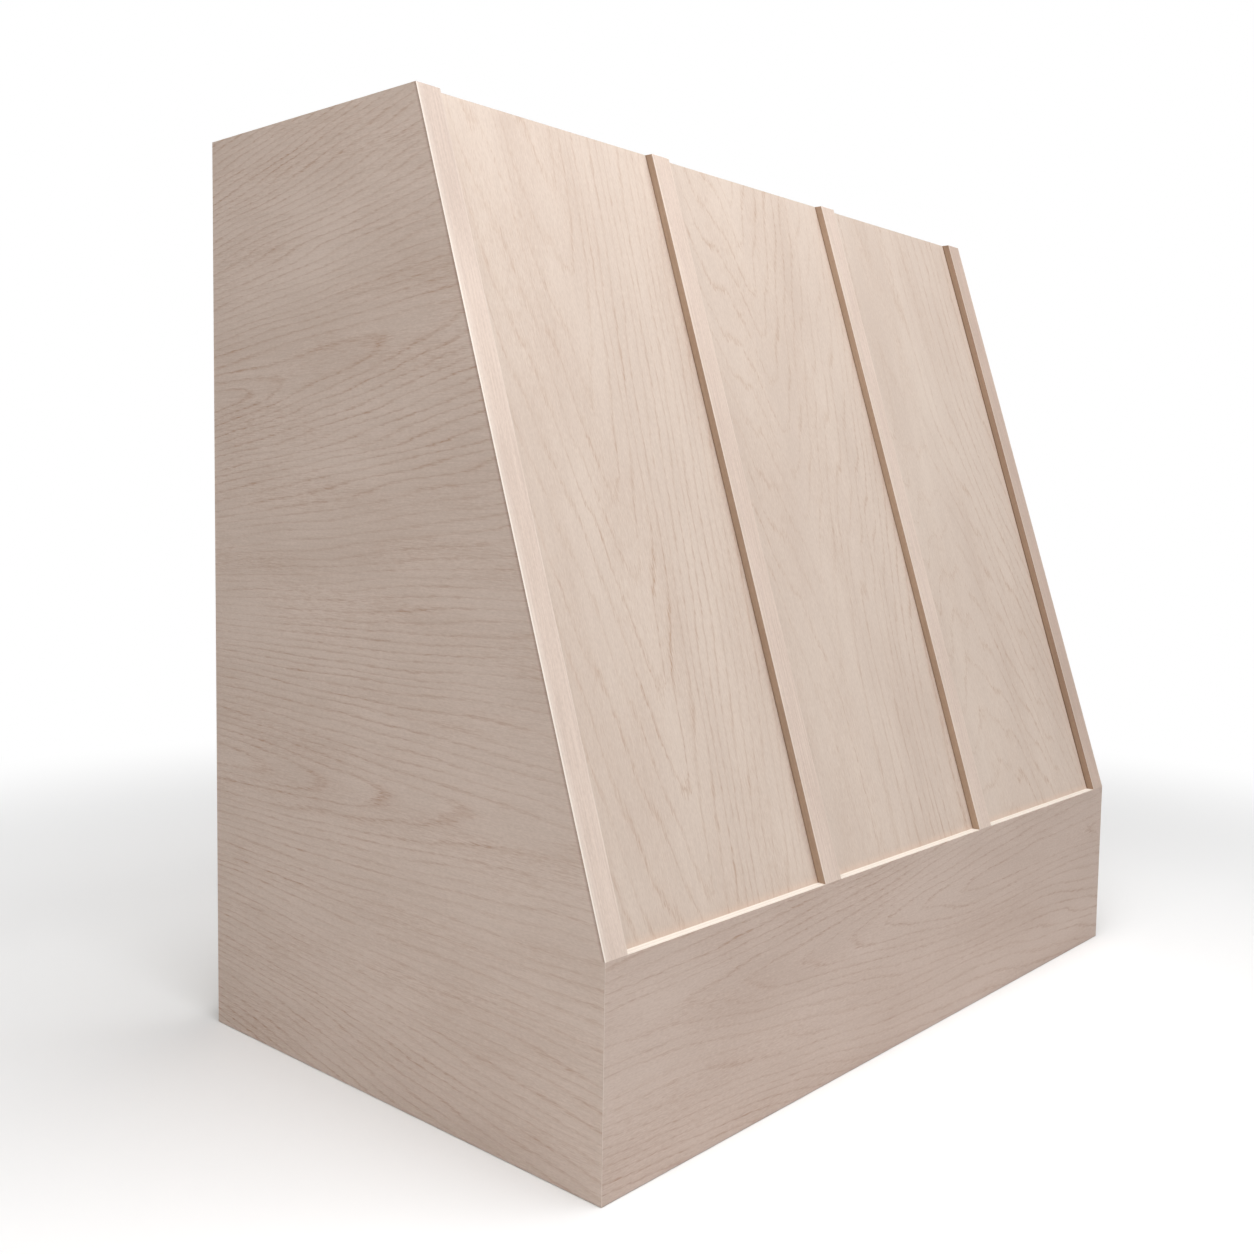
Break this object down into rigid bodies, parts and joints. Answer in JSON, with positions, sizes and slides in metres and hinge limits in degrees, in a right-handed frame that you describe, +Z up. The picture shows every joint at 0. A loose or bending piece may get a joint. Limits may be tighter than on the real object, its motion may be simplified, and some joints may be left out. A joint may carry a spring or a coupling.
{
  "type": "range hood cover",
  "caption": "Wooden range hood cover: slanted strapped front over a plain apron, open below for a vent insert, hung on a bevelled wall cleat.",
  "frame": {"origin": "middle of the cover's footprint, at the height of its bottom edge", "axes": "+X to the viewer's right when facing the cover, -Y to the front, +Y to the wall it hangs on, +Z up"},
  "size_m": [0.9144, 0.5334, 0.8763],
  "materials": {
    "side_plywood": "unfinished, sanded",
    "front_plywood": "unfinished, sanded",
    "apron_plywood": "unfinished, sanded",
    "strap_wood": "unfinished, sanded",
    "frame_wood": "planed",
    "frame_plywood": "sanded",
    "screw_steel": "zinc plated"
  },
  "bodies": {
    "wall_cleat_body": {"wall_cleat": "frame_plywood"},
    "hood_body": {"side_panel_left": "side_plywood", "side_panel_right": "side_plywood", "front_panel": "front_plywood", "apron_board": "apron_plywood", "strap_left": "strap_wood", "strap_centre_left": "strap_wood", "strap_centre_right": "strap_wood", "strap_right": "strap_wood", "mitre_spline_left": "frame_plywood", "mitre_spline_right": "frame_plywood", "top_front_rail": "frame_wood", "apron_rail": "frame_wood", "panel_foot_cleat": "frame_wood", "corner_strip_left": "frame_wood", "corner_strip_right": "frame_wood", "panel_brace": "frame_wood", "apron_corner_block_left": "frame_wood", "apron_corner_block_right": "frame_wood", "shelf_front": "frame_plywood", "shelf_rear": "frame_plywood", "shelf_left": "frame_plywood", "shelf_right": "frame_plywood", "ledger_front": "frame_wood", "ledger_left": "frame_wood", "ledger_right": "frame_wood", "bottom_rail": "frame_wood", "hang_rail": "frame_plywood", "hang_cleat": "frame_plywood", "pocket_screws": "screw_steel", "wood_screws": "screw_steel", "panel_screws": "screw_steel", "strap_screws": "screw_steel", "edge_strap_pins": "screw_steel"}
  },
  "joints": [
    {"name": "hood_lift", "type": "slide", "parent": "wall_cleat_body", "child": "hood_body", "axis": [0, 0, 1], "range_m": [0, 0.03]}
  ]
}
